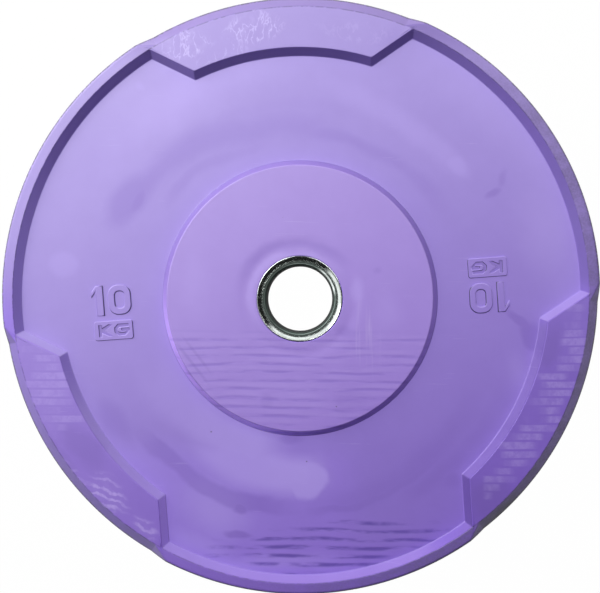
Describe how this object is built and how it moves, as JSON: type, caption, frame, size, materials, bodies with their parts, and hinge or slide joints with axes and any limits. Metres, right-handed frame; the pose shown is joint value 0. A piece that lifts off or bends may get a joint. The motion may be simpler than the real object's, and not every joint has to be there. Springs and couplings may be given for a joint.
{
  "type": "bumper plate",
  "caption": "Rubber bumper plate with grip tabs round its rim, a raised hub, raised weight marks and a flared steel bore insert.",
  "frame": {"origin": "middle of the bore, halfway between the two faces", "axes": "+Z along the bore axis towards the front face, +Y towards the middle of one grip tab, +X to the right seen from the front"},
  "size_m": [0.45, 0.45, 0.054],
  "materials": {
    "rubber": "satin lavender rubber",
    "plated_steel": "turned steel with bright zinc plating",
    "plain_steel": "bare cut steel"
  },
  "bodies": {
    "root": {"rubber_body": "rubber", "bore_sleeve": "plated_steel", "front_collar": "plated_steel", "rear_collar": "plated_steel", "anchor_disc": "plain_steel"}
  },
  "joints": []
}
